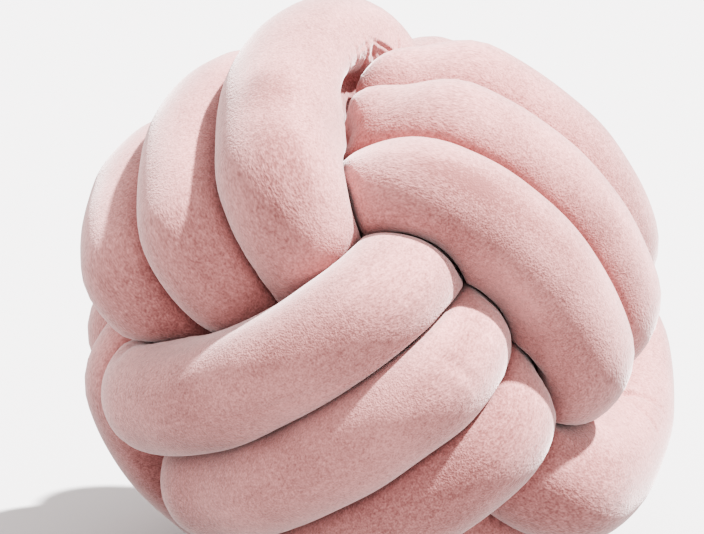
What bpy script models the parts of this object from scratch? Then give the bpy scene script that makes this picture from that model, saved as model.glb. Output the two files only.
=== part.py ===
"""A knot pillow: one long stuffed velvet tube, tied into a ball and closed end to end.

The knot is a monkey's fist of three rounds with three turns each. Every round is a coil about
one axis of the ball: it runs over two opposite sides of the ball and dives under the coils that
cross it on the other two. The tube is soft, so each stretch is pressed flat where it meets
the next one and keeps its round crown only where nothing leans on it.
Lengths are metres and angles are degrees.
"""
import math

import bmesh
import bpy
import numpy as np
from mathutils.bvhtree import BVHTree

# The ball, as distances of the tube's middle line from the ball's centre
CROWN_DISTANCE = 0.1225         # where a turn lies on top
TUCKED_DISTANCE = 0.0475        # where an outer turn of a round is tucked under
TUCKED_MIDDLE_DISTANCE = 0.036  # where the middle turn of a round is tucked under

# The tube
TUBE_RADIUS = 0.0265            # of a turn on top
TUCKED_RADIUS = 0.0330          # of a tucked stretch, which spreads until it meets the next
TUCKED_STIFFNESS = 0.0270       # how wide a tucked stretch acts when it is pressed
INNER_SPREAD = 0.0140           # how much further the side that faces the ball's centre swells
CLEARANCE = 0.0016              # left between stretches that touch
SOFT_EDGE = 0.0040              # rounding where a flat contact turns into a free side
TIGHTEST_SHARE = 0.85           # how far the inside of a bend may reach towards its centre
THINNEST = 0.003                # least distance from the middle line to the skin
TINY = 1e-6

# The turns of a round, side by side
CROWN_SPACING = 0.0472          # between neighbouring turns on top
TUCKED_SPACING = 0.021          # between neighbouring turns underneath
RISE_STARTS = 0.19              # of cos squared of the angle along a turn: still tucked
RISE_ENDS = 0.80                # of the same: on top
SHIFT_HALF_ANGLE = 50.0         # a turn moves over to the next one while it is tucked

# A knot tied by hand isn't even. A row is one pass over a side of the ball, by its round and its
# number along the round. Rise, aside, thicker and lean are millimetres: how much further out and
# over the pass lies, and how far it slants. Start and end are degrees that it stays on top longer.
PASS_COLUMNS = ("rise", "aside", "thicker", "lean", "start", "end")
PASS_ROWS = {
    (0, 0): (6, 2, 3, 2, 10, 0),
    (0, 1): (9, 6, 3, 0, 0, 0),
    (0, 2): (0, -4, 0, 2, 0, 0),
    (0, 4): (2, -5, 0, 2, 0, -6),
    (1, 0): (0, 2, 1, -10, 12, 8),
    (1, 2): (0, 3, 0, -7, 6, 5),
    (1, 4): (0, 2, 0, -5, 5, 4),
    (2, 1): (-2, 0, 0, 0, 0, 0),
    (2, 2): (-3, 3, 0, 0, 0, 0),
    (2, 4): (-3, 1, 0, 0, 0, 0),
}
MILLIMETRE = 0.001
PASS_HALF_ANGLE = 45.0          # of an even pass

# A round starts and ends between its outer passes, where it hands over to the next round
ROUND_START = -60.0
ROUND_END = 960.0
ROUND_SAMPLES = 600
HANDOVER_SAMPLES = 60

# The mesh
RINGS = 400
LINE_POINTS_PER_RING = 4        # the middle line is followed more finely than it is skinned
SIDE_RESOLUTION = 5             # 14 sides
NEIGHBOUR_FREE_LENGTH = 0.075   # stretches closer than this along the tube don't press
NEIGHBOUR_REACH = 0.095         # stretches further apart than this don't press
LEAST_GAP = 0.0004              # between flat triangles of stretches that touch
DRAW_IN_SHARE = 0.94            # what a corner keeps of its reach when its triangles cross
MOST_DRAW_INS = 60

# How the ball lies: its own upright corner turned towards the viewer, then set on its base
CORNER_ROLL = -10.0
CORNER_TILT = 19.7
CORNER_PAN = -5.0
VIEW_ELEVATION = 16.0
BASE_DEPTH = 0.011              # how far the ball is pressed flat where it rests

VELVET_COLOUR = (0.72, 0.45, 0.43, 1.0)
VELVET_ROUGHNESS = 0.9
OBJECT_NAME = "knot_tube"
COLLECTION_NAME = "knot_pillow"


def clear_scene():
    for old in list(bpy.data.objects):
        bpy.data.objects.remove(old, do_unlink=True)


def ease(share):
    share = np.clip(share, 0.0, 1.0)
    return share * share * (3.0 - 2.0 * share)


def pass_values(number, angle, column):
    """One column of the table of passes, read along a round; 0 where it has no row."""
    along = np.round(angle / 180.0)
    values = np.zeros(len(angle))
    for (row_round, row_pass), row in PASS_ROWS.items():
        if row_round == number:
            values[along == row_pass] = row[PASS_COLUMNS.index(column)]
    return values


def share_on_top(number, angle):
    """1 where a turn lies on top of the ball, 0 where it is tucked under."""
    past_middle = angle - 180.0 * np.round(angle / 180.0)
    before = pass_values(number, angle, "start")
    after = pass_values(number, angle, "end")
    longer = np.where(past_middle < 0.0, before, after)
    past_middle = past_middle * PASS_HALF_ANGLE / (PASS_HALF_ANGLE + longer)
    top = np.cos(np.radians(past_middle)) ** 2
    return ease((top - RISE_STARTS) / (RISE_ENDS - RISE_STARTS))


def turn_place(angle):
    """1, 0 and -1 for the three turns of a round, with an eased shift between them."""
    width = 2.0 * SHIFT_HALF_ANGLE
    first = ease((angle - 270.0 + SHIFT_HALF_ANGLE) / width)
    second = ease((angle - 630.0 + SHIFT_HALF_ANGLE) / width)
    return 1.0 - first - second


def round_line(number):
    """Points, radius and stiffness along one round, which coils in two axes about the third."""
    angle = np.linspace(ROUND_START, ROUND_END, ROUND_SAMPLES)
    top = share_on_top(number, angle)
    place = turn_place(angle)
    past_middle = (angle - 180.0 * np.round(angle / 180.0)) / PASS_HALF_ANGLE
    aside = pass_values(number, angle, "aside")
    aside += pass_values(number, angle, "lean") * past_middle
    side = place * (TUCKED_SPACING + (CROWN_SPACING - TUCKED_SPACING) * top)
    side += aside * MILLIMETRE * top
    middle = 1.0 - np.abs(place)
    tucked = TUCKED_DISTANCE + (TUCKED_MIDDLE_DISTANCE - TUCKED_DISTANCE) * middle
    crown = CROWN_DISTANCE + pass_values(number, angle, "rise") * MILLIMETRE
    distance = tucked + (crown - tucked) * top
    reach = np.sqrt(distance ** 2 - side ** 2)
    line = np.zeros((ROUND_SAMPLES, 3))
    line[:, number] = reach * np.cos(np.radians(angle))
    line[:, (number + 1) % 3] = reach * np.sin(np.radians(angle))
    line[:, (number + 2) % 3] = side
    full = TUBE_RADIUS + pass_values(number, angle, "thicker") * MILLIMETRE
    radius = TUCKED_RADIUS + (full - TUCKED_RADIUS) * top
    stiffness = TUCKED_STIFFNESS + (full - TUCKED_STIFFNESS) * top
    return line, radius, stiffness


def handover(before, after):
    """A smooth bridge from the end of one round to the start of the next."""
    start, end = before[-1], after[0]
    span = np.linalg.norm(end - start)
    leave = before[-1] - before[-2]
    leave *= span / np.linalg.norm(leave)
    arrive = after[1] - after[0]
    arrive *= span / np.linalg.norm(arrive)
    t = np.linspace(0.0, 1.0, HANDOVER_SAMPLES + 2)[1:-1, None]
    return (
        (2 * t ** 3 - 3 * t ** 2 + 1) * start
        + (t ** 3 - 2 * t ** 2 + t) * leave
        + (3 * t ** 2 - 2 * t ** 3) * end
        + (t ** 3 - t ** 2) * arrive
    )


def knot_line():
    """The whole closed middle line at even steps, with the tube's radius and stiffness."""
    rounds = [round_line(number) for number in range(3)]
    points, radii, stiffness = [], [], []
    for number, (line, radius, stiff) in enumerate(rounds):
        following = rounds[(number + 1) % 3][0]
        points += [line, handover(line, following)]
        radii += [radius, np.full(HANDOVER_SAMPLES, TUCKED_RADIUS)]
        stiffness += [stiff, np.full(HANDOVER_SAMPLES, TUCKED_STIFFNESS)]
    table = np.column_stack([np.concatenate(column) for column in (points, radii, stiffness)])
    table = np.vstack([table, table[:1]])
    steps = np.linalg.norm(np.diff(table[:, :3], axis=0), axis=1)
    travelled = np.concatenate([[0.0], np.cumsum(steps)])
    wanted = np.linspace(0.0, travelled[-1], RINGS * LINE_POINTS_PER_RING, endpoint=False)
    even = np.column_stack([np.interp(wanted, travelled, column) for column in table.T])
    return even[:, :3], even[:, 3], even[:, 4]


def turned(axis, degrees):
    """Rotation matrix about one axis of the world."""
    c, s = math.cos(math.radians(degrees)), math.sin(math.radians(degrees))
    a, b = (axis + 1) % 3, (axis + 2) % 3
    matrix = np.eye(3)
    matrix[a, a] = matrix[b, b] = c
    matrix[a, b], matrix[b, a] = -s, s
    return matrix


def ball_to_world():
    """The ball's corner where three rounds meet faces the viewer, who stands towards -Y."""
    lean = math.sqrt(1.0 / 3.0)
    spread = math.sqrt(2.0 / 3.0)
    facing = np.zeros((3, 3))
    for axis, around in enumerate((150.0, 270.0, 30.0)):
        # right, up and towards the viewer
        facing[:, axis] = (
            spread * math.cos(math.radians(around)),
            spread * math.sin(math.radians(around)),
            lean,
        )
    facing = turned(1, CORNER_PAN) @ turned(0, -CORNER_TILT) @ turned(2, CORNER_ROLL) @ facing
    # right is +X, up is +Z and towards the viewer is -Y
    upright = np.array([[1.0, 0.0, 0.0], [0.0, 0.0, -1.0], [0.0, 1.0, 0.0]])
    return turned(0, -VIEW_ELEVATION) @ upright @ facing


def plain_tube(points, radii):
    """The unpressed tube: a closed curve with a round bevel, made a mesh."""
    data = bpy.data.curves.new("plain_tube", "CURVE")
    data.dimensions = "3D"
    data.bevel_depth = 1.0
    data.bevel_resolution = SIDE_RESOLUTION
    spline = data.splines.new("POLY")
    spline.points.add(len(points) - 1)
    spline.use_cyclic_u = True
    for knot, point, radius in zip(spline.points, points, radii):
        knot.co = (*point, 1.0)
        knot.radius = radius
    curve = bpy.data.objects.new("plain_tube", data)
    bpy.context.scene.collection.objects.link(curve)
    graph = bpy.context.evaluated_depsgraph_get()
    mesh = bpy.data.meshes.new_from_object(curve.evaluated_get(graph))
    bpy.data.objects.remove(curve, do_unlink=True)
    bpy.data.curves.remove(data)
    return mesh


def bend_of(points):
    """At each point, a vector towards the centre of the bend, one over its radius long."""
    apart = LINE_POINTS_PER_RING
    before, after = np.roll(points, apart, axis=0), np.roll(points, -apart, axis=0)
    step = np.linalg.norm(after - before, axis=1) / 2.0
    return (before - 2.0 * points + after) / (step ** 2)[:, None]


def room(points, stiffness, outward):
    """How far each ring may reach in each direction before it meets another stretch."""
    count = len(points)
    order = np.arange(count)
    free = int(round(NEIGHBOUR_FREE_LENGTH / np.linalg.norm(points[1] - points[0])))
    reach = np.full(outward.shape[:2], np.inf)
    for ring in range(len(outward)):
        here = ring * LINE_POINTS_PER_RING
        apart = np.abs(order - here)
        apart = np.minimum(apart, count - apart)
        to_other = points - points[here]
        distance_squared = (to_other ** 2).sum(axis=1)
        near = (apart > free) & (distance_squared < NEIGHBOUR_REACH ** 2)
        if not near.any():
            continue
        towards = outward[ring] @ to_other[near].T
        border = distance_squared[near] + stiffness[here] ** 2 - stiffness[near] ** 2
        meeting = np.full(towards.shape, np.inf)
        np.divide(border, 2.0 * towards, out=meeting, where=towards > TINY)
        reach[ring] = meeting.min(axis=1) - CLEARANCE / 2.0
    bend = np.einsum("rsk,rk->rs", outward, bend_of(points)[::LINE_POINTS_PER_RING])
    inside = np.full(bend.shape, np.inf)
    np.divide(TIGHTEST_SHARE, bend, out=inside, where=bend > TINY)
    return np.minimum(reach, inside)


def softly_least(round_reach, pressed_reach):
    """The smaller of the two, with the change from one to the other rounded off."""
    pressed_reach = np.clip(pressed_reach, THINNEST, 2.0 * TUCKED_RADIUS)
    blend = np.clip(0.5 + 0.5 * (pressed_reach - round_reach) / SOFT_EDGE, 0.0, 1.0)
    mixed = pressed_reach * (1.0 - blend) + round_reach * blend
    return np.maximum(mixed - SOFT_EDGE * blend * (1.0 - blend), THINNEST)


def crossing_corners(corners, triangles):
    """Which corners belong to a triangle that cuts another one elsewhere on the tube."""
    tree = BVHTree.FromPolygons(corners.tolist(), triangles.tolist())
    cutting = [one for one, other in tree.overlap(tree)]
    return np.unique(triangles[cutting])


def press(mesh, points, radii, stiffness):
    """Moves each ring's corners in to where the tube meets its neighbours."""
    corners = np.zeros(len(mesh.vertices) * 3)
    mesh.vertices.foreach_get("co", corners)
    centres = points[::LINE_POINTS_PER_RING]
    corners = corners.reshape(len(centres), -1, 3)
    outward = corners - centres[:, None, :]
    outward /= np.linalg.norm(outward, axis=2, keepdims=True)
    to_middle = -centres / np.linalg.norm(centres, axis=1, keepdims=True)
    faces_in = np.clip(np.einsum("rsk,rk->rs", outward, to_middle), 0.0, 1.0)
    full = radii[::LINE_POINTS_PER_RING, None] + INNER_SPREAD * faces_in ** 2
    reach = softly_least(full, room(points, stiffness, outward))
    mesh.calc_loop_triangles()
    triangles = np.zeros(len(mesh.loop_triangles) * 3, dtype=np.int32)
    mesh.loop_triangles.foreach_get("vertices", triangles)
    triangles = triangles.reshape(-1, 3)
    for _ in range(MOST_DRAW_INS):
        swollen = centres[:, None, :] + outward * (reach + LEAST_GAP)[:, :, None]
        crossing = crossing_corners(swollen.reshape(-1, 3), triangles)
        if not len(crossing):
            break
        reach.ravel()[crossing] *= DRAW_IN_SHARE
    return centres[:, None, :] + outward * reach[:, :, None]


def set_down(corners):
    """Flattens the underside where the ball rests and stands it on the origin."""
    low, high = corners.min(axis=(0, 1)), corners.max(axis=(0, 1))
    middle = (low + high) / 2.0
    base = low[2] + BASE_DEPTH
    corners = corners - np.array([middle[0], middle[1], base])
    corners[:, :, 2] = np.maximum(corners[:, :, 2], 0.0)
    return corners


def make_triangles(mesh):
    """Splits each four-sided face, the same way in every later step, and points it outwards."""
    shape = bmesh.new()
    shape.from_mesh(mesh)
    bmesh.ops.triangulate(shape, faces=shape.faces)
    bmesh.ops.recalc_face_normals(shape, faces=shape.faces)
    shape.to_mesh(mesh)
    shape.free()


def velvet():
    material = bpy.data.materials.new("velvet")
    material.use_nodes = True
    shader = material.node_tree.nodes["Principled BSDF"]
    shader.inputs["Base Color"].default_value = VELVET_COLOUR
    shader.inputs["Roughness"].default_value = VELVET_ROUGHNESS
    shader.inputs["Metallic"].default_value = 0.0
    return material


def knot_pillow():
    collection = bpy.data.collections.new(COLLECTION_NAME)
    bpy.context.scene.collection.children.link(collection)
    points, radii, stiffness = knot_line()
    points = points @ ball_to_world().T
    mesh = plain_tube(points[::LINE_POINTS_PER_RING], radii[::LINE_POINTS_PER_RING])
    mesh.name = OBJECT_NAME
    make_triangles(mesh)
    corners = set_down(press(mesh, points, radii, stiffness))
    mesh.vertices.foreach_set("co", corners.ravel())
    mesh.materials.clear()
    mesh.materials.append(velvet())
    mesh.shade_smooth()
    tube = bpy.data.objects.new(OBJECT_NAME, mesh)
    collection.objects.link(tube)
    return tube


clear_scene()
knot_pillow()
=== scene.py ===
# %% [markdown]
# A knot pillow in velvet
#
# The real pillow is one long tube of velvet, stuffed with fibre, tied into a ball and sewn end
# to end inside the knot. This lesson builds it the same way: first the line that the tube
# follows, then the cover along that line, then the pressing of the soft tube against itself,
# and last the creases and the velvet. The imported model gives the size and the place.

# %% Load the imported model
import math

import bmesh
import bpy
import numpy as np
from mathutils import Matrix, Vector, noise
from mathutils.bvhtree import BVHTree


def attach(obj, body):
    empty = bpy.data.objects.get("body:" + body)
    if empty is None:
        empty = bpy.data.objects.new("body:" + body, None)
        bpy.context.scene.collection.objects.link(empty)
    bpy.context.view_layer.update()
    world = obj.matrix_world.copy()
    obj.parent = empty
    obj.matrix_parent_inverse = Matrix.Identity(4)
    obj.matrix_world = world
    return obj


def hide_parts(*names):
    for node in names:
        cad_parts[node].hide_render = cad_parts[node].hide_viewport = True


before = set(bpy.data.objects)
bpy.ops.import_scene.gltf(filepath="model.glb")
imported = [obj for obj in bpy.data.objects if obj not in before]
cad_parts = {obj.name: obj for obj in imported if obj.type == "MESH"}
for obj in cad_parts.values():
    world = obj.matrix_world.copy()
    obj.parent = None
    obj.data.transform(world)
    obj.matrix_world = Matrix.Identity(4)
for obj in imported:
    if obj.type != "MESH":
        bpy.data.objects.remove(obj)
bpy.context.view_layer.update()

# %% [markdown]
# The knot
#
# A monkey's fist has three rounds, and each round is a coil of three turns about one axis of the
# ball. A turn lies on top of the ball on two opposite sides, and on the two sides between them
# it is tucked under the round that crosses it. So one rule, repeated three times with the axes
# passed on, gives the whole line. All sizes are metres, all angles degrees.

# %% The sizes of the knot
CROWN_DISTANCE = 0.1225         # ball's centre to the tube's middle line, where a turn is on top
TUCKED_DISTANCE = 0.0475        # the same where an outer turn of a round is tucked under
TUCKED_MIDDLE_DISTANCE = 0.036  # the same for the middle turn
CROWN_SPACING = 0.0472          # between neighbouring turns on top
TUCKED_SPACING = 0.021          # between neighbouring turns underneath
TUBE_RADIUS = 0.0265            # of a turn on top
TUCKED_RADIUS = 0.0330          # of a tucked stretch, before it is pressed
TUCKED_STIFFNESS = 0.0270       # how wide a tucked stretch acts when it is pressed
INNER_SPREAD = 0.0140           # how much further the side that faces the ball's centre swells
RISE_STARTS = 0.19              # of cos squared of the angle along a turn: still tucked
RISE_ENDS = 0.80                # of the same: on top
FIRST_SHIFT, SECOND_SHIFT = 270.0, 630.0     # a turn moves over to the next one while tucked
SHIFT_HALF_ANGLE = 50.0
PASS_HALF_ANGLE = 45.0          # of an even pass on top
ROUND_START, ROUND_END = -60.0, 960.0
ROUND_SAMPLES = 1200
HANDOVER_SAMPLES = 120
MILLIMETRE = 0.001
print("crown to crown:", round(2.0 * (CROWN_DISTANCE + TUBE_RADIUS), 4))

# %% [markdown]
# Tied by hand
#
# No hand ties nine equal turns. The table says how single passes differ from an even one: how
# far they stand out, lie aside, are thicker and lean, in millimetres, and for how many degrees
# more they stay on top at their start and end. It is read by column names, so a new column
# doesn't disturb the others.

# %% The uneven passes
PASS_COLUMNS = ("rise", "aside", "thicker", "lean", "start", "end")
PASS_ROWS = {
    (0, 0): (6, 2, 3, 2, 10, 0),
    (0, 1): (9, 6, 3, 0, 0, 0),
    (0, 2): (0, -4, 0, 2, 0, 0),
    (0, 4): (2, -5, 0, 2, 0, -6),
    (1, 0): (0, 2, 1, -10, 12, 8),
    (1, 2): (0, 3, 0, -7, 6, 5),
    (1, 4): (0, 2, 0, -5, 5, 4),
    (2, 1): (-2, 0, 0, 0, 0, 0),
    (2, 2): (-3, 3, 0, 0, 0, 0),
    (2, 4): (-3, 1, 0, 0, 0, 0),
}


def ease(share):
    share = np.clip(share, 0.0, 1.0)
    return share * share * (3.0 - 2.0 * share)


def pass_values(number, angle, column):
    """One column of the table of passes, read along a round; 0 where it has no row."""
    along = np.round(angle / 180.0)
    values = np.zeros(len(angle))
    for (row_round, row_pass), row in PASS_ROWS.items():
        if row_round == number:
            values[along == row_pass] = row[PASS_COLUMNS.index(column)]
    return values


print("uneven passes:", len(PASS_ROWS))

# %% [markdown]
# One round
#
# The angle runs along the coil. Its cosine squared is 1 in the middle of a pass on top and 0 in
# the middle of a tucked one, so an eased step on it gives the share on top. Everything else is
# mixed by that share: the distance from the centre, the spacing, the radius and the stiffness.

# %% How a turn goes up, down and aside
RADIUS, STIFFNESS, ON_TOP, ROUND, ANGLE = range(3, 8)       # columns of a line, after x, y, z


def share_on_top(number, angle):
    past_middle = angle - 180.0 * np.round(angle / 180.0)
    before = pass_values(number, angle, "start")
    after = pass_values(number, angle, "end")
    longer = np.where(past_middle < 0.0, before, after)
    past_middle = past_middle * PASS_HALF_ANGLE / (PASS_HALF_ANGLE + longer)
    top = np.cos(np.radians(past_middle)) ** 2
    return ease((top - RISE_STARTS) / (RISE_ENDS - RISE_STARTS))


def turn_place(angle):
    """1, 0 and -1 for the three turns of a round, with an eased shift between them."""
    width = 2.0 * SHIFT_HALF_ANGLE
    first = ease((angle - FIRST_SHIFT + SHIFT_HALF_ANGLE) / width)
    second = ease((angle - SECOND_SHIFT + SHIFT_HALF_ANGLE) / width)
    return 1.0 - first - second


print("place of the three turns:", turn_place(np.array([90.0, 450.0, 810.0])))

# %% The middle line of a round
def round_line(number):
    """Columns along one round: x, y, z, radius, stiffness, share on top, round and angle."""
    angle = np.linspace(ROUND_START, ROUND_END, ROUND_SAMPLES)
    top = share_on_top(number, angle)
    place = turn_place(angle)
    past_middle = (angle - 180.0 * np.round(angle / 180.0)) / PASS_HALF_ANGLE
    aside = pass_values(number, angle, "aside")
    aside += pass_values(number, angle, "lean") * past_middle
    side = place * (TUCKED_SPACING + (CROWN_SPACING - TUCKED_SPACING) * top)
    side += aside * MILLIMETRE * top
    middle = 1.0 - np.abs(place)
    tucked = TUCKED_DISTANCE + (TUCKED_MIDDLE_DISTANCE - TUCKED_DISTANCE) * middle
    crown = CROWN_DISTANCE + pass_values(number, angle, "rise") * MILLIMETRE
    distance = tucked + (crown - tucked) * top
    reach = np.sqrt(distance ** 2 - side ** 2)
    line = np.zeros((ROUND_SAMPLES, 3))
    line[:, number] = reach * np.cos(np.radians(angle))
    line[:, (number + 1) % 3] = reach * np.sin(np.radians(angle))
    line[:, (number + 2) % 3] = side
    full = TUBE_RADIUS + pass_values(number, angle, "thicker") * MILLIMETRE
    radius = TUCKED_RADIUS + (full - TUCKED_RADIUS) * top
    stiffness = TUCKED_STIFFNESS + (full - TUCKED_STIFFNESS) * top
    label = np.full(ROUND_SAMPLES, float(number))
    return np.column_stack([line, radius, stiffness, top, label, angle])


print("one round has", len(round_line(0)), "samples")

# %% [markdown]
# One closed line
#
# Between two rounds the tube turns a corner inside the ball. A Hermite curve makes that bridge:
# it leaves in the direction of the first round and arrives in that of the next. Three rounds
# and three bridges close the line, as the real tube is sewn end to end where nobody sees it.

# %% Join the rounds
def handover(before, after):
    start, end = before[-1, :3], after[0, :3]
    span = np.linalg.norm(end - start)
    leave = before[-1, :3] - before[-2, :3]
    leave *= span / np.linalg.norm(leave)
    arrive = after[1, :3] - after[0, :3]
    arrive *= span / np.linalg.norm(arrive)
    t = np.linspace(0.0, 1.0, HANDOVER_SAMPLES + 2)[1:-1, None]
    bridge = (
        (2 * t ** 3 - 3 * t ** 2 + 1) * start
        + (t ** 3 - 2 * t ** 2 + t) * leave
        + (3 * t ** 2 - 2 * t ** 3) * end
        + (t ** 3 - t ** 2) * arrive
    )
    rows = np.tile(before[-1], (HANDOVER_SAMPLES, 1))
    rows[:, :3] = bridge
    rows[:, RADIUS] = TUCKED_RADIUS
    rows[:, STIFFNESS] = TUCKED_STIFFNESS
    return rows


def along_line(table):
    """Distance travelled at each row of a closed line, and the whole length at the end."""
    steps = np.linalg.norm(np.diff(np.vstack([table, table[:1]])[:, :3], axis=0), axis=1)
    return np.concatenate([[0.0], np.cumsum(steps)])


def read_line(table, wanted):
    """The columns of a closed line at the wanted distances along it."""
    travelled = along_line(table)
    closed = np.vstack([table, table[:1]])
    return np.column_stack([np.interp(wanted, travelled, column) for column in closed.T])


rounds = [round_line(number) for number in range(3)]
knot = np.vstack([
    np.vstack([rounds[number], handover(rounds[number], rounds[(number + 1) % 3])])
    for number in range(3)
])
tube_length = along_line(knot)[-1]
print("length of the tube in metres:", round(tube_length, 3))

# %% [markdown]
# How the ball lies
#
# The ball is turned so that the corner where three rounds meet faces the viewer, a little up and
# to the side, as a dropped pillow happens to lie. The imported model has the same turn, so the
# knot falls into its place by itself.

# %% Turn the knot
CORNER_ROLL, CORNER_TILT, CORNER_PAN = -10.0, 19.7, -5.0
VIEW_ELEVATION = 16.0
AXES_AROUND = (150.0, 270.0, 30.0)      # where a cube's axes point when its corner faces the viewer


def turned(axis, degrees):
    return np.array(Matrix.Rotation(math.radians(degrees), 3, axis))


def ball_to_view():
    """Columns: where the ball's x, y and z go, as right, up and towards the viewer."""
    facing = np.zeros((3, 3))
    for axis, around in enumerate(AXES_AROUND):
        facing[:, axis] = (
            math.sqrt(2.0 / 3.0) * math.cos(math.radians(around)),
            math.sqrt(2.0 / 3.0) * math.sin(math.radians(around)),
            math.sqrt(1.0 / 3.0),
        )
    return turned("Y", CORNER_PAN) @ turned("X", -CORNER_TILT) @ turned("Z", CORNER_ROLL) @ facing


view_to_world = turned("X", -VIEW_ELEVATION) @ np.array([[1, 0, 0], [0, 0, -1], [0, 1, 0]])
knot[:, :3] = knot[:, :3] @ (view_to_world @ ball_to_view()).T
print("middle line spans", np.ptp(knot[:, :3], axis=0).round(3))

# %% [markdown]
# The cover as a Geometry Nodes tree
#
# The cover is a circle swept along the line, so Curve to Mesh makes it. Rings lie close together
# where the tube shows and further apart inside the ball, which saves half the faces. The tree
# has its number of sides as a named input, and ends in Realize Instances and Set Material.

# %% Choose where the rings go
SHOWN_STEP = 0.0032             # between rings on top
TUCKED_STEP = 0.0085            # between tucked rings
CLOSEST_FROM = 0.5              # share on top from which the rings are as close as they get
SIDES = 56
FOLLOWED_POINTS = 2400          # on the line, for measuring how far stretches are apart

fine_places = np.linspace(0.0, tube_length, FOLLOWED_POINTS, endpoint=False)
fine = read_line(knot, fine_places)
closest = ease(fine[:, ON_TOP] / CLOSEST_FROM)
crowded = 1.0 / (TUCKED_STEP + (SHOWN_STEP - TUCKED_STEP) * closest)
counted = np.concatenate([[0.0], np.cumsum(crowded)]) * tube_length / FOLLOWED_POINTS
ring_count = 2 * int(counted[-1] / 2.0)
ring_places = np.interp(
    np.linspace(0.0, counted[-1], ring_count, endpoint=False),
    counted,
    np.linspace(0.0, tube_length, FOLLOWED_POINTS + 1),
)
rings = read_line(knot, ring_places)
print("rings:", ring_count, "triangles:", 2 * ring_count * SIDES)

# %% Build the tree
def new_tree(name, inputs):
    """A Geometry Nodes tree with a geometry in and out, and named inputs for its sizes."""
    tree = bpy.data.node_groups.new(name, "GeometryNodeTree")
    tree.interface.new_socket("Geometry", in_out="INPUT", socket_type="NodeSocketGeometry")
    for label, kind, value in inputs:
        made = tree.interface.new_socket(label, in_out="INPUT", socket_type=kind)
        if value is not None:
            made.default_value = value
    tree.interface.new_socket("Geometry", in_out="OUTPUT", socket_type="NodeSocketGeometry")
    return tree


def cover_tree():
    """Sweeps a circle along a curve, as wide as the curve's own radius at each point."""
    tree = new_tree("swept cover", [
        ("Sides", "NodeSocketInt", SIDES),
        ("Cloth", "NodeSocketMaterial", None),
    ])
    nodes, links = tree.nodes, tree.links
    given = nodes.new("NodeGroupInput")
    circle = nodes.new("GeometryNodeCurvePrimitiveCircle")
    circle.inputs["Radius"].default_value = 1.0
    radius = nodes.new("GeometryNodeInputRadius")
    sweep = nodes.new("GeometryNodeCurveToMesh")
    smooth = nodes.new("GeometryNodeSetShadeSmooth")
    real = nodes.new("GeometryNodeRealizeInstances")
    dress = nodes.new("GeometryNodeSetMaterial")
    result = nodes.new("NodeGroupOutput")
    links.new(given.outputs["Sides"], circle.inputs["Resolution"])
    links.new(given.outputs["Geometry"], sweep.inputs["Curve"])
    links.new(circle.outputs["Curve"], sweep.inputs["Profile Curve"])
    links.new(radius.outputs["Radius"], sweep.inputs["Scale"])
    links.new(sweep.outputs["Mesh"], smooth.inputs["Geometry"])
    links.new(smooth.outputs["Geometry"], real.inputs["Geometry"])
    links.new(real.outputs["Geometry"], dress.inputs["Geometry"])
    links.new(given.outputs["Cloth"], dress.inputs["Material"])
    links.new(dress.outputs["Geometry"], result.inputs["Geometry"])
    return tree


sweep_tree = cover_tree()
print("nodes in the tree:", len(sweep_tree.nodes))

# %% Sweep the cover along the line
def curve_through(name, table):
    """A closed curve through the rows of a line, with their radius."""
    data = bpy.data.curves.new(name, "CURVE")
    data.dimensions = "3D"
    spline = data.splines.new("POLY")
    spline.points.add(len(table) - 1)
    spline.use_cyclic_u = True
    spline.points.foreach_set("co", np.column_stack([table[:, :3], np.ones(len(table))]).ravel())
    spline.points.foreach_set("radius", table[:, RADIUS].copy())
    curve = bpy.data.objects.new(name, data)
    bpy.context.scene.collection.objects.link(curve)
    return curve


def grown_mesh(name, source, tree, values):
    """Runs a tree on an object and returns the result as a plain mesh; the source is removed."""
    modifier = source.modifiers.new(name, "NODES")
    modifier.node_group = tree
    for item in tree.interface.items_tree:
        if item.in_out == "INPUT" and item.name in values:
            modifier[item.identifier] = values[item.name]
    evaluated = source.evaluated_get(bpy.context.evaluated_depsgraph_get())
    mesh = bpy.data.meshes.new_from_object(evaluated)
    mesh.name = name
    bpy.data.objects.remove(source, do_unlink=True)
    return mesh


def face_outwards(mesh):
    shape = bmesh.new()
    shape.from_mesh(mesh)
    bmesh.ops.recalc_face_normals(shape, faces=shape.faces)
    shape.to_mesh(mesh)
    shape.free()


velvet = bpy.data.materials.new("velvet")
cover = grown_mesh(
    "velvet_tube", curve_through("middle_line", rings), sweep_tree,
    {"Sides": SIDES, "Cloth": velvet},
)
print("cover:", len(cover.vertices), "points,", len(cover.polygons), "faces")

# %% [markdown]
# Pressing the tube against itself
#
# A stuffed tube that is pulled tight in a knot can't stay round: where two stretches meet they
# flatten against each other along a shared border. The border is found as a power diagram
# finds it: a point belongs to the stretch whose middle line is nearest, once each stretch's own
# stiffness is taken off. Stretches on top are stiffer, so they keep their crown and the tucked
# ones give way. The inside of a bend is held back too, or the cover would run through itself.

# %% Directions from the middle line
CLEARANCE = 0.0005              # left between stretches that touch
SOFT_EDGE = 0.0040              # rounding where a flat contact turns into a free side
TIGHTEST_SHARE = 0.85           # how far the inside of a bend may reach towards its centre
THINNEST = 0.003                # no point comes closer to the middle line than this
NEIGHBOUR_FREE_LENGTH = 0.075   # stretches closer than this along the tube don't press
NEIGHBOUR_REACH = 0.095         # stretches further apart than this don't press
BEND_SPAN = 6                   # points to each side over which a bend is measured
TINY = 1e-6

centres = rings[:, :3]
corners = np.zeros(len(cover.vertices) * 3)
cover.vertices.foreach_get("co", corners)
corners = corners.reshape(ring_count, SIDES, 3)
print("largest slip of a ring's middle:", np.abs(corners.mean(axis=1) - centres).max())
outward = corners - centres[:, None, :]
outward /= np.linalg.norm(outward, axis=2, keepdims=True)

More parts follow.
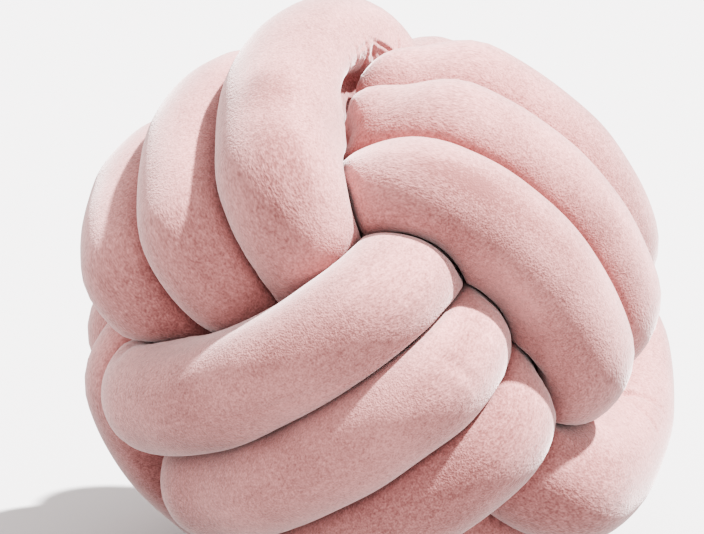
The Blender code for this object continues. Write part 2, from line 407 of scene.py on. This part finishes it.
# %% Find the room that each ring has
def bends(line):
    """At each point, a vector towards the centre of the bend, one over its radius long."""
    before, after = np.roll(line, BEND_SPAN, axis=0), np.roll(line, -BEND_SPAN, axis=0)
    step = np.linalg.norm(after - before, axis=1) / 2.0
    return (before - 2.0 * line + after) / (step ** 2)[:, None]


def room(ring):
    """How far one ring may reach in each direction before it meets another stretch."""
    apart = np.abs(fine_places - ring_places[ring])
    apart = np.minimum(apart, tube_length - apart)
    to_other = fine[:, :3] - centres[ring]
    distance_squared = (to_other ** 2).sum(axis=1)
    near = (apart > NEIGHBOUR_FREE_LENGTH) & (distance_squared < NEIGHBOUR_REACH ** 2)
    if not near.any():
        return np.full(SIDES, np.inf)
    towards = outward[ring] @ to_other[near].T
    border = distance_squared[near] + rings[ring, STIFFNESS] ** 2 - fine[near, STIFFNESS] ** 2
    meeting = np.full(towards.shape, np.inf)
    np.divide(border, 2.0 * towards, out=meeting, where=towards > TINY)
    return meeting.min(axis=1) - CLEARANCE / 2.0


def room_everywhere():
    return np.array([room(ring) for ring in range(ring_count)])


pressed = room_everywhere()
bend = bends(fine[:, :3])
bend = np.column_stack([
    np.interp(ring_places, fine_places, column, period=tube_length) for column in bend.T
])
inward = np.einsum("rsk,rk->rs", outward, bend)
inside = np.full(inward.shape, np.inf)
np.divide(TIGHTEST_SHARE, inward, out=inside, where=inward > TINY)
pressed = np.clip(np.minimum(pressed, inside), THINNEST, 2.0 * TUCKED_RADIUS)
print("share of the cover that is pressed:", round((pressed < rings[:, RADIUS, None]).mean(), 2))

# %% [markdown]
# Crown or contact
#
# The skin lies at the smaller of two distances: the tube's own radius and the room it has. A
# plain minimum would leave a knife edge along each contact, so the two are blended over a few
# millimetres, which is how a stuffed cover turns from its free side into the furrow.

# %% Blend the two distances
def softly_least(round_reach, pressed_reach, edge):
    blend = np.clip(0.5 + 0.5 * (pressed_reach - round_reach) / edge, 0.0, 1.0)
    mixed = pressed_reach * (1.0 - blend) + round_reach * blend
    return np.maximum(mixed - edge * blend * (1.0 - blend), THINNEST)


def cover_points():
    """Where the cover lies, at its reach from the middle line in each direction."""
    return centres[:, None, :] + outward * reach[:, :, None]


to_middle = -centres / np.linalg.norm(centres, axis=1, keepdims=True)
faces_in = np.clip(np.einsum("rsk,rk->rs", outward, to_middle), 0.0, 1.0)
reach = softly_least(rings[:, RADIUS, None] + INNER_SPREAD * faces_in ** 2, pressed, SOFT_EDGE)
corners = cover_points()
print("ball spans", np.ptp(corners, axis=(0, 1)).round(4))

# %% [markdown]
# The cover as cloth
#
# The cover was cut as a straight tube, so it is slack on the inside of a bend and tight on the
# outside, and the filling blows it up. A cloth simulation works out where it goes: it starts from
# the pressed shape, has the straight tube as its shape at rest and is held where it is tucked. It
# runs on every second ring and side to save time. How far a point may move is capped, and the
# moves are then carried over to the full cover, halfway points by a cubic rule.

# %% Cut the straight tube
CLOTH_FRAMES = 20
CLOTH_QUALITY = 5
CLOTH_PRESSURE = 4.0
CLOTH_TENSION = 15.0
CLOTH_SHEAR = 5.0
CLOTH_BENDING = 0.1
SPARE_LENGTH = 1.25             # the cloth's own length over that of the middle line
CLOTH_CAP = 0.003               # how far a point may move
HELD_RINGS = 4                  # at each end of the line, where the straight tube is cut open
HOLD_FADES = 3.0                # how fast the hold lets go as a turn comes to the top


def cut_tube(table, places, sides):
    """The straight tube that the cover was sewn as."""
    turn = np.arange(sides) * 2.0 * math.pi / sides
    cut = np.zeros((len(places), sides, 3))
    cut[:, :, 0] = table[:, RADIUS, None] * np.cos(turn)
    cut[:, :, 1] = table[:, RADIUS, None] * np.sin(turn)
    cut[:, :, 2] = places[:, None] * SPARE_LENGTH
    return cut


print("the cloth is cut", round(tube_length * SPARE_LENGTH, 3), "m long")

# %% Make the piece of cloth
def cloth_piece(start, table, places):
    """A tube of cloth in the knotted shape, with the straight tube as its shape at rest."""
    sides = start.shape[1]
    mesh = grown_mesh(
        "cloth_tube", curve_through("cloth_line", table), sweep_tree,
        {"Sides": sides, "Cloth": velvet},
    )
    mesh.vertices.foreach_set("co", start.ravel())
    face_outwards(mesh)
    piece = bpy.data.objects.new("cloth_tube", mesh)
    bpy.context.scene.collection.objects.link(piece)
    piece.shape_key_add(name="knotted")
    straight = piece.shape_key_add(name="straight")
    straight.data.foreach_set("co", cut_tube(table, places, sides).ravel())
    straight.value = 0.0
    held = piece.vertex_groups.new(name="held")
    weights = 1.0 - ease(table[:, ON_TOP] * HOLD_FADES)
    weights[:HELD_RINGS] = weights[-HELD_RINGS:] = 1.0
    for ring in np.nonzero(weights > TINY)[0]:
        members = [int(ring) * sides + side for side in range(sides)]
        held.add(members, float(weights[ring]), "REPLACE")
    cloth = piece.modifiers.new("cloth", "CLOTH")
    cloth.settings.quality = CLOTH_QUALITY
    cloth.settings.tension_stiffness = CLOTH_TENSION
    cloth.settings.compression_stiffness = CLOTH_TENSION
    cloth.settings.shear_stiffness = CLOTH_SHEAR
    cloth.settings.bending_stiffness = CLOTH_BENDING
    cloth.settings.use_pressure = True
    cloth.settings.uniform_pressure_force = CLOTH_PRESSURE
    cloth.settings.vertex_group_mass = "held"
    cloth.settings.rest_shape_key = straight
    cloth.settings.effector_weights.gravity = 0.0
    cloth.collision_settings.use_collision = False
    cloth.collision_settings.use_self_collision = False
    cloth.point_cache.frame_start = 1
    cloth.point_cache.frame_end = CLOTH_FRAMES
    return piece

# %% Run the cloth and carry its moves over
def simulated(piece, shape):
    """Runs the cloth and returns its points; the piece is removed."""
    for moment in range(1, CLOTH_FRAMES + 1):
        bpy.context.scene.frame_set(moment)
    settled = piece.evaluated_get(bpy.context.evaluated_depsgraph_get())
    points = np.zeros(len(settled.data.vertices) * 3)
    settled.data.vertices.foreach_get("co", points)
    bpy.data.objects.remove(piece, do_unlink=True)
    bpy.context.scene.frame_set(1)
    return points.reshape(shape)


def halfway(values, axis):
    """The cubic value between each entry and the next, round a closed row."""
    before, after = np.roll(values, 1, axis), np.roll(values, -1, axis)
    beyond = np.roll(values, -2, axis)
    return (9.0 * (values + after) - (before + beyond)) / 16.0


start = corners[::2, ::2].copy()
piece = cloth_piece(start, rings[::2], ring_places[::2])
moved = simulated(piece, start.shape) - start
length = np.linalg.norm(moved, axis=2, keepdims=True)
moved *= np.minimum(1.0, CLOTH_CAP / np.maximum(length, TINY))
full = np.zeros(corners.shape)
full[::2, ::2] = moved
full[1::2, ::2] = halfway(moved, 0)
full[:, 1::2] = halfway(full[:, ::2], 1)
corners += full
print("the cloth moved by up to", length.max().round(4), "on average", length.mean().round(5))

# %% [markdown]
# Creases, hollows and lumps
#
# Velvet that goes round a tight bend is slack on the inside and gathers there in folds. The table
# lists the ones that show. round, angle and around say where the middle of a crease lies: along
# which round, how far along it, and where on the tube's side. slant is the direction in which it
# runs, 0 along the tube and 90 round it. The last three columns are millimetres. A crease is a
# valley with a low bank on each side; the wide ones are plain hollows, or swells where the depth
# is below zero.

# %% The creases that show
CREASE_COLUMNS = ("round", "angle", "around", "slant", "half_length", "width", "depth")
CREASE_ROWS = [
    (0, -14, 268, 0, 30, 9.0, 11.0),     # the hollow under the bend at the top
    (0, -17, 250, 0, 19, 7.0, 9.0),      # and the gap behind it
    (2, 400, 304, 0, 16, 13.0, -9.0),    # the two turns beside it swell into that hollow
    (2, 759, 306, 0, 14, 12.0, -8.0),
    (0, -30, 287, 18, 10, 4.0, 2.5),     # the slack that it leaves
    (1, -40, 84, 60, 6, 3.0, 2.0),       # the small hollow at the left corner
    (0, -31, 295, 21, 12, 0.7, 0.9),     # the fold that hangs over the bend
    (0, -20, 301, -5, 7, 0.8, 0.6),
    (0, -11, 289, 82, 8, 1.4, 0.5),      # the gathers between that fold and the hollow
    (0, -17, 290, 76, 8, 1.4, 0.6),
    (0, -23, 290, 70, 8, 1.4, 0.8),
    (0, -28, 287, 62, 7, 1.2, 0.6),
    (0, -37, 297, 80, 5, 0.8, 0.6),
    (0, 184, 306, 12, 10, 1.6, 0.5),     # the fan that spreads from the tuck at the right
    (0, 180, 318, 85, 9, 1.6, 0.5),
    (0, 174, 320, 100, 9, 1.6, 0.4),
    (0, 179, 296, 45, 5, 1.6, 1.6),
    (1, 394, 158, 86, 13, 1.4, 0.45),    # pulled lines over the end of a front turn
    (1, 398, 150, 84, 14, 1.4, 0.45),
    (1, 403, 165, 82, 11, 1.4, 0.40),
    (1, 12, 186, 16, 32, 2.4, 0.30),     # a long brushed line on the lowest left turn
]
WIDE_CREASE = 2.8               # mm; wider ones need no finer mesh


def named_rows(columns, rows):
    """The rows of a table as dictionaries, so that each value is read by its column's name."""
    return [dict(zip(columns, row)) for row in rows]


creases = named_rows(CREASE_COLUMNS, CREASE_ROWS)
narrow = [crease for crease in creases if crease["width"] < WIDE_CREASE]
swells = [crease for crease in creases if crease["depth"] < 0.0]
hollows = [crease for crease in creases if crease not in narrow and crease not in swells]
print("hollows:", len(hollows), "swells:", len(swells), "creases:", len(narrow))

# %% How deep a crease is at each point
BANK_SHARE = 0.40               # height of a crease's banks over its depth
BANK_PLACE = 2.0                # how far out they lie, in widths


def spot_frame(spot, slant, place, turn):
    """Distances from a spot on the tube, in mm, along a slant and across it."""
    on_round = rings[:, ROUND] == spot["round"]
    miss = np.where(on_round, np.abs(rings[:, ANGLE] - spot["angle"]), np.inf)
    along = place - ring_places[np.argmin(miss)]
    along = (along + tube_length / 2.0) % tube_length - tube_length / 2.0
    along = along / MILLIMETRE
    sideways = np.radians((turn - spot["around"] + 180.0) % 360.0 - 180.0)
    sideways = sideways * TUBE_RADIUS / MILLIMETRE
    slant = math.radians(slant)
    lengthwise = along * math.cos(slant) + sideways * math.sin(slant)
    across = np.abs(sideways * math.cos(slant) - along * math.sin(slant))
    return lengthwise, across


def crease_depth(crease, place, turn):
    """How far one crease draws in points of the cover."""
    lengthwise, across = spot_frame(crease, crease["slant"], place, turn)
    across = across / crease["width"]
    ends = np.exp(-(lengthwise / crease["half_length"]) ** 4)
    profile = np.exp(-across ** 2)
    if crease["width"] < WIDE_CREASE:
        profile = profile - BANK_SHARE * np.exp(-(across - BANK_PLACE) ** 2)
    return crease["depth"] * MILLIMETRE * ends * profile


side_angles = np.arange(SIDES) * 360.0 / SIDES
print("sides every", round(side_angles[1], 2), "degrees")

# %% Hollow the cover and give it lumps
LUMP_HEIGHT = 0.0011            # soft lumps of the filling
LUMP_SIZE = 0.034
FOLD_EDGE = 0.0008              # the contacts are rounded already, so this is small

outward = corners - centres[:, None, :]
free = np.linalg.norm(outward, axis=2)
outward /= free[:, :, None]
lumps = np.array([noise.noise(Vector(point) / LUMP_SIZE) for point in corners.reshape(-1, 3)])
free += LUMP_HEIGHT * lumps.reshape(free.shape)
for crease in hollows:
    free -= crease_depth(crease, ring_places[:, None], side_angles[None, :])
reach = softly_least(free, np.clip(room_everywhere(), THINNEST, 2.0 * TUCKED_RADIUS), FOLD_EDGE)
for crease in swells:
    reach -= crease_depth(crease, ring_places[:, None], side_angles[None, :])
print("reach of the cover:", reach.min().round(4), "to", reach.max().round(4))

# %% [markdown]
# No cut through itself
#
# Deep inside, where a turn dives in a tight bend, rings of the cover can still cross, and the
# swells can reach into their neighbours. A search tree finds the faces that cut each other, and
# their corners are drawn in towards the middle line, with those beside them a little less, until
# none is left or the passes are used up. A voxel remesh would do it too, but loses the rings.

# %% Find what still crosses
MOST_DRAW_INS = 24
DRAW_IN_SHARE = 0.06            # of the reach, at each pass
BESIDE_SHARE = 0.35             # of that, for the corners next to them

count = ring_count * SIDES
first = np.arange(count).reshape(ring_count, SIDES)
next_side, next_ring = np.roll(first, -1, 1), np.roll(first, -1, 0)
squares = np.stack([first, next_side, np.roll(next_side, -1, 0), next_ring], axis=2).reshape(-1, 4)
square_list = squares.tolist()


def crossing_share(points):
    """1 at each corner of a face that cuts another, less beside it, 0 elsewhere."""
    tree = BVHTree.FromPolygons(points.reshape(-1, 3).tolist(), square_list)
    cutting = np.array([
        pair for pair in tree.overlap(tree)
        if pair[0] < pair[1] and not set(square_list[pair[0]]) & set(square_list[pair[1]])
    ], dtype=int)
    share = np.zeros(count)
    share[squares[cutting.ravel()].ravel()] = 1.0
    share = share.reshape(ring_count, SIDES)
    beside = sum(np.roll(share, step, axis) for step in (-1, 1) for axis in (0, 1))
    return len(cutting), np.maximum(share, BESIDE_SHARE * np.minimum(beside, 1.0))


print("faces to look at:", len(squares))

# %% Draw it in
for draw_in in range(MOST_DRAW_INS):
    pairs, share = crossing_share(cover_points())
    print("pass", draw_in, "pairs of faces that cut:", pairs)
    if not pairs:
        break
    reach *= 1.0 - DRAW_IN_SHARE * share
corners = cover_points()
print("ball spans", np.ptp(corners, axis=(0, 1)).round(4))

# %% [markdown]
# Setting the ball down
#
# The ball presses a small flat spot into its lowest turns. Its box is centred on the packed
# model's, and what would lie under the floor is rounded up to it.

# %% Flatten the base
BASE_DEPTH = 0.011              # how far the lowest point of the ball is pressed in
BASE_ROUNDING = 0.0012
low, high = corners.min(axis=(0, 1)), corners.max(axis=(0, 1))
ball_centre = -(low + high) / 2.0
ball_centre[2] = -low[2] - BASE_DEPTH
corners += ball_centre
height = corners[:, :, 2]
corners[:, :, 2] = (height + np.sqrt(height ** 2 + BASE_ROUNDING ** 2)) / 2.0
print("ball's centre", ball_centre.round(4))

# %% [markdown]
# Where the nap is brushed, and painted shade
#
# A hand that strokes velvet leaves patches where the pile leans away from the light and looks
# deeper. The table lists the ones that show, by their place on the tube as above and their size
# in millimetres; below zero is lighter. Their tone is partly the brushed pile and partly painted
# shade, and the one lighter patch is painted light on the lower side of the upper front turn.
# They become one number at each point of the cover.

# %% The brushed patches, partly painted shade
NAP_AND_SHADE_COLUMNS = ("round", "angle", "around", "half_length", "half_width", "deeper")
NAP_AND_SHADE_ROWS = [
    (0, 14, 14, 10, 12, 0.42),      # upper left turn in front
    (0, 29, 10, 15, 16, 0.42),
    (0, 20, 325, 14, 8, 0.15),
    (1, 12, 132, 26, 10, 0.20),     # upper front turn
    (1, 34, 157, 10, 12, 0.15),
    # lighter: painted light on the lower side of this turn
    (1, 10, 203, 30, 8, -0.25),
    (1, 395, 145, 14, 10, 0.30),    # middle front turn
    (2, 25, 256, 14, 8, 0.52),      # right-hand turns, from the front one backwards
    (2, 2, 260, 22, 10, 0.22),
    (2, 351, 254, 28, 12, 0.30),
    (2, 692, 273, 30, 14, 0.35),
]


def nap_and_shade_patch(patch):
    """How much deeper one patch makes each point of the cover, fading out from its middle."""
    lengthwise, across = spot_frame(patch, 0.0, ring_places[:, None], side_angles[None, :])
    away = (lengthwise / patch["half_length"]) ** 2 + (across / patch["half_width"]) ** 2
    return patch["deeper"] * np.exp(-away ** 1.5)


# The patches add up to one number of brushed pile and painted shade.
nap_and_painted_shade = sum(nap_and_shade_patch(patch) for patch in named_rows(NAP_AND_SHADE_COLUMNS, NAP_AND_SHADE_ROWS))
print("nap between", nap_and_painted_shade.min().round(2), "and", nap_and_painted_shade.max().round(2))

# %% [markdown]
# The finished cover
#
# The moved points go back into the mesh. Each point also keeps its place on the straight tube,
# unrolled as a cylinder, so that the pile and the nap can follow the cloth and not the room.

# %% Write the mesh
cover.vertices.foreach_set("co", corners.ravel())
around = np.arange(SIDES) * 2.0 * math.pi / SIDES
place = np.zeros((ring_count, SIDES, 3))
place[:, :, 0] = TUBE_RADIUS * np.cos(around)
place[:, :, 1] = TUBE_RADIUS * np.sin(around)
place[:, :, 2] = ring_places[:, None]
stored = cover.attributes.new("tube_place", "FLOAT_VECTOR", "POINT")
stored.data.foreach_set("vector", place.ravel())
# Each point keeps that number of brushed pile and painted shade.
nap_and_shade_layer = cover.attributes.new("nap_and_painted_shade", "FLOAT", "POINT")
nap_and_shade_layer.data.foreach_set("value", nap_and_painted_shade.ravel())
cover.update()
face_outwards(cover)
pillow = bpy.data.objects.new("velvet_tube", cover)
bpy.context.scene.collection.objects.link(pillow)
print("attributes:", [each.name for each in cover.attributes if not each.name.startswith(".")])

# %% [markdown]
# The narrow creases
#
# A crease of one or two millimetres is finer than the mesh, so the faces along it are split
# first. Its points then move in along their own normals, which keeps the valley's sides even.

# %% Find the faces along the creases
REFINING_CUTS = 3
REFINED_BESIDE = 5.0            # mm to each side of a crease that get the finer mesh


def laid_out(vertices, layer):
    """Where points lie along the tube, and their angle round it."""
    laid = np.array([vertex[layer] for vertex in vertices])
    return laid[:, 2], np.degrees(np.arctan2(laid[:, 1], laid[:, 0]))


shape = bmesh.new()
shape.from_mesh(cover)
layer = shape.verts.layers.float_vector["tube_place"]
vertices = list(shape.verts)
place, turn = laid_out(vertices, layer)
close = np.zeros(len(vertices), dtype=bool)
for crease in narrow:
    lengthwise, across = spot_frame(crease, crease["slant"], place, turn)
    ends = np.abs(lengthwise) < crease["half_length"] + REFINED_BESIDE
    close |= ends & (across < REFINED_BESIDE)
chosen = {vertex for vertex, near in zip(vertices, close) if near}
edges = [edge for edge in shape.edges if edge.verts[0] in chosen and edge.verts[1] in chosen]
print("edges to split:", len(edges))

# %% Split them and draw the creases in
bmesh.ops.subdivide_edges(shape, edges=edges, cuts=REFINING_CUTS, use_grid_fill=True, smooth=1.0)
shape.normal_update()
vertices = list(shape.verts)
place, turn = laid_out(vertices, layer)
depth = sum(crease_depth(crease, place, turn) for crease in narrow)
for vertex, drawn_in in zip(vertices, depth):
    vertex.co -= vertex.normal * float(drawn_in)
shape.to_mesh(cover)
shape.free()
triangles = len(cover.loops) - 2 * len(cover.polygons)
print("points after the creases:", len(cover.vertices), "triangles:", triangles)

# %% [markdown]
# Velvet
#
# Velvet is a short upright pile. Three things tell it from plain cloth: it glows where it is
# seen edge on, which is the shader's sheen; it shows patches and streaks where the pile was
# brushed one way or the other; and close by it is mottled by the tips of the pile. An image
# could hold all that, but noises on the cloth's own coordinates stay sharp at any distance. The
# sheen is the same all over, so it is set on the shader's own socket.

# %% The velvet's shader
PILE_ROUGHNESS = 0.9
PILE_GLOSS = 0.15
SHEEN_WEIGHT = 0.7
SHEEN_ROUGHNESS = 0.50
SHEEN_TINT = (1.0, 0.96, 0.96, 1.0)

velvet.use_nodes = True
nodes, links = velvet.node_tree.nodes, velvet.node_tree.links
shader = nodes["Principled BSDF"]
shader.inputs["Roughness"].default_value = PILE_ROUGHNESS
shader.inputs["Sheen Weight"].default_value = SHEEN_WEIGHT
shader.inputs["Sheen Roughness"].default_value = SHEEN_ROUGHNESS
shader.inputs["Sheen Tint"].default_value = SHEEN_TINT
shader.inputs["Specular IOR Level"].default_value = PILE_GLOSS
print("sheen:", SHEEN_WEIGHT)

# %% [markdown]
# The mottle of the pile
#
# Patches, streaks, clumps and grain are four noises, from the size of a hand down to the tips of
# the pile. Each is weighed and added to the sum of those before it. The sum and the number from
# the brushed patches and painted shade pick a colour between a light and a deep pink, and the
# same sum drives a low bump, so that what looks deep also lies deep.

# %% Add up the four noises
LIGHT_PINK = (0.62, 0.310, 0.298, 1.0)
DEEP_PINK = (0.28, 0.113, 0.106, 1.0)
LAYER_COLUMNS = ("name", "scale", "stretch", "detail", "weight")
LAYER_ROWS = [
    ("patches", 20.0, 1.0, 2.0, 1.25),      # where a hand has brushed the nap
    ("streaks", 90.0, 0.30, 2.0, 0.35),     # the same, drawn out along the tube
    ("clumps", 480.0, 1.25, 1.0, 0.70),     # tufts of pile that lean together
    ("grain", 1100.0, 1.25, 1.0, 1.15),     # tips of the pile
]
layers = named_rows(LAYER_COLUMNS, LAYER_ROWS)
middle = sum(each["weight"] for each in layers) / 2.0
laid = nodes.new("ShaderNodeAttribute")
laid.attribute_name = "tube_place"


def weighed_layer(values, so_far):
    """Adds one noise, weighed about its middle, to the sum of those before it."""
    stretched = nodes.new("ShaderNodeMapping")
    stretched.inputs["Scale"].default_value = (1.0, 1.0, values["stretch"])
    mottle = nodes.new("ShaderNodeTexNoise")
    mottle.label = values["name"]
    mottle.inputs["Scale"].default_value = values["scale"]
    mottle.inputs["Detail"].default_value = values["detail"]
    weigh = nodes.new("ShaderNodeMath")
    weigh.operation = "MULTIPLY_ADD"
    weigh.inputs[1].default_value = values["weight"]
    links.new(laid.outputs["Vector"], stretched.inputs["Vector"])
    links.new(stretched.outputs["Vector"], mottle.inputs["Vector"])
    links.new(mottle.outputs["Fac"], weigh.inputs[0])
    if so_far is None:
        weigh.inputs[2].default_value = 0.5 - middle
    else:
        links.new(so_far, weigh.inputs[2])
    return weigh.outputs["Value"]


total = None
for values in layers:
    total = weighed_layer(values, total)
print("velvet layers:", [values["name"] for values in layers])

# %% Colour and bump
BUMP_STRENGTH = 0.5
BUMP_HEIGHT = 0.0006

mix = nodes.new("ShaderNodeMix")
mix.data_type = "RGBA"
mix.inputs["A"].default_value = LIGHT_PINK
mix.inputs["B"].default_value = DEEP_PINK
bump = nodes.new("ShaderNodeBump")
bump.invert = True
bump.inputs["Strength"].default_value = BUMP_STRENGTH
bump.inputs["Distance"].default_value = BUMP_HEIGHT
# The number of brushed pile and painted shade deepens the colour.
nap_and_shade_read = nodes.new("ShaderNodeAttribute")
nap_and_shade_read.attribute_name = "nap_and_painted_shade"
deeper = nodes.new("ShaderNodeMath")
deeper.operation = "ADD"
deeper.use_clamp = True
links.new(total, deeper.inputs[0])
links.new(nap_and_shade_read.outputs["Fac"], deeper.inputs[1])
links.new(deeper.outputs["Value"], mix.inputs["Factor"])
links.new(mix.outputs["Result"], shader.inputs["Base Color"])
links.new(total, bump.inputs["Height"])
links.new(bump.outputs["Normal"], shader.inputs["Normal"])
print("nodes in the velvet:", len(nodes))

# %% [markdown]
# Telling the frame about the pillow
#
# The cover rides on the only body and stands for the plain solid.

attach(pillow, "root")
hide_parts("knot_tube")

# %% [markdown]
# The floor
#
# The pillow rests on a wide pale floor that fills the picture. A disc is enough, since its edge
# is never seen. To the pillow it looks darker than to the camera, because the photo's lowest
# turns get little light from below; the Light Path node tells the two apart.

# %% Lay the floor
FLOOR_RADIUS = 6.0
FLOOR_SIDES = 96
FLOOR_ROUGHNESS = 0.9
FLOOR_SEEN = (0.535, 0.525, 0.527, 1.0)
FLOOR_BOUNCED = (0.26, 0.25, 0.25, 1.0)

shape = bmesh.new()
bmesh.ops.create_circle(shape, cap_ends=True, radius=FLOOR_RADIUS, segments=FLOOR_SIDES)
ground = bpy.data.meshes.new("pale_floor")
shape.to_mesh(ground)
shape.free()
floor = bpy.data.objects.new("pale_floor", ground)
bpy.context.scene.collection.objects.link(floor)
pale = bpy.data.materials.new("pale_floor")
pale.use_nodes = True
pale_nodes, pale_links = pale.node_tree.nodes, pale.node_tree.links
pale_nodes["Principled BSDF"].inputs["Roughness"].default_value = FLOOR_ROUGHNESS
ray = pale_nodes.new("ShaderNodeLightPath")
tone = pale_nodes.new("ShaderNodeMix")
tone.data_type = "RGBA"
tone.inputs["A"].default_value = FLOOR_BOUNCED
tone.inputs["B"].default_value = FLOOR_SEEN
pale_links.new(ray.outputs["Is Camera Ray"], tone.inputs["Factor"])
pale_links.new(tone.outputs["Result"], pale_nodes["Principled BSDF"].inputs["Base Color"])
ground.materials.append(pale)
print("floor:", 2.0 * FLOOR_RADIUS, "m across")

# %% [markdown]
# The light
#
# The key light is small and far, so each turn of the tube throws a clear shadow on the next, down
# and to the left; its direction is given as the viewer sees it. The pale world fills the shadows
# with slightly warm light. AgX with high contrast keeps the light tones clean and soft.

# %% Hang the key light and fill the shadows
KEY_DIRECTION = (0.494, 0.839, 0.230)      # from the ball: right, up and towards the viewer
KEY_STRENGTH = 11.0
KEY_ANGLE = 2.5
FILL_COLOUR = (1.0, 0.965, 0.955, 1.0)
FILL_STRENGTH = 1.25

key_data = bpy.data.lights.new("key", "SUN")
key_data.energy = KEY_STRENGTH
key_data.angle = math.radians(KEY_ANGLE)
key = bpy.data.objects.new("key", key_data)
towards_key = Vector(view_to_world @ np.array(KEY_DIRECTION))
key.rotation_euler = towards_key.to_track_quat("Z", "Y").to_euler()
bpy.context.scene.collection.objects.link(key)
world = bpy.data.worlds.new("studio")
bpy.context.scene.world = world
world.use_nodes = True
background = world.node_tree.nodes["Background"]
background.inputs["Color"].default_value = FILL_COLOUR
background.inputs["Strength"].default_value = FILL_STRENGTH
bpy.context.scene.view_settings.view_transform = "AgX"
bpy.context.scene.view_settings.look = "AgX - High Contrast"
print("key light from", [round(part, 3) for part in towards_key])

# %% [markdown]
# The camera
#
# It looks down a little at the ball, from far enough that the turns don't bulge at the viewer. It
# is aimed so that the ball's centre falls on the same spot as in the photo.

# %% Place the camera
FRAME_WIDTH, FRAME_HEIGHT = 704, 534
MM_PER_PIXEL = 300.0 / 610.0               # at the ball's centre
VIEW_DISTANCE = 2.060
CENTRE_PIXEL = (373.0, 313.5)
SENSOR_WIDTH = 36.0
NEAREST_SEEN = 0.05

camera_data = bpy.data.cameras.new("camera")
camera = bpy.data.objects.new("camera", camera_data)
bpy.context.scene.collection.objects.link(camera)
camera_data.sensor_width = SENSOR_WIDTH
camera_data.lens = SENSOR_WIDTH * VIEW_DISTANCE / (FRAME_WIDTH * MM_PER_PIXEL * MILLIMETRE)
right, up, back = (view_to_world @ np.eye(3)).T
aim = ball_centre + MILLIMETRE * MM_PER_PIXEL * (
    (FRAME_WIDTH / 2 - CENTRE_PIXEL[0]) * right + (CENTRE_PIXEL[1] - FRAME_HEIGHT / 2) * up
)
camera.matrix_world = Matrix.Translation(aim + VIEW_DISTANCE * back) @ Matrix(
    np.column_stack([right, up, back]).tolist()
).to_4x4()
camera_data.clip_start = NEAREST_SEEN
bpy.context.scene.camera = camera
print("lens:", round(camera_data.lens, 1), "mm")
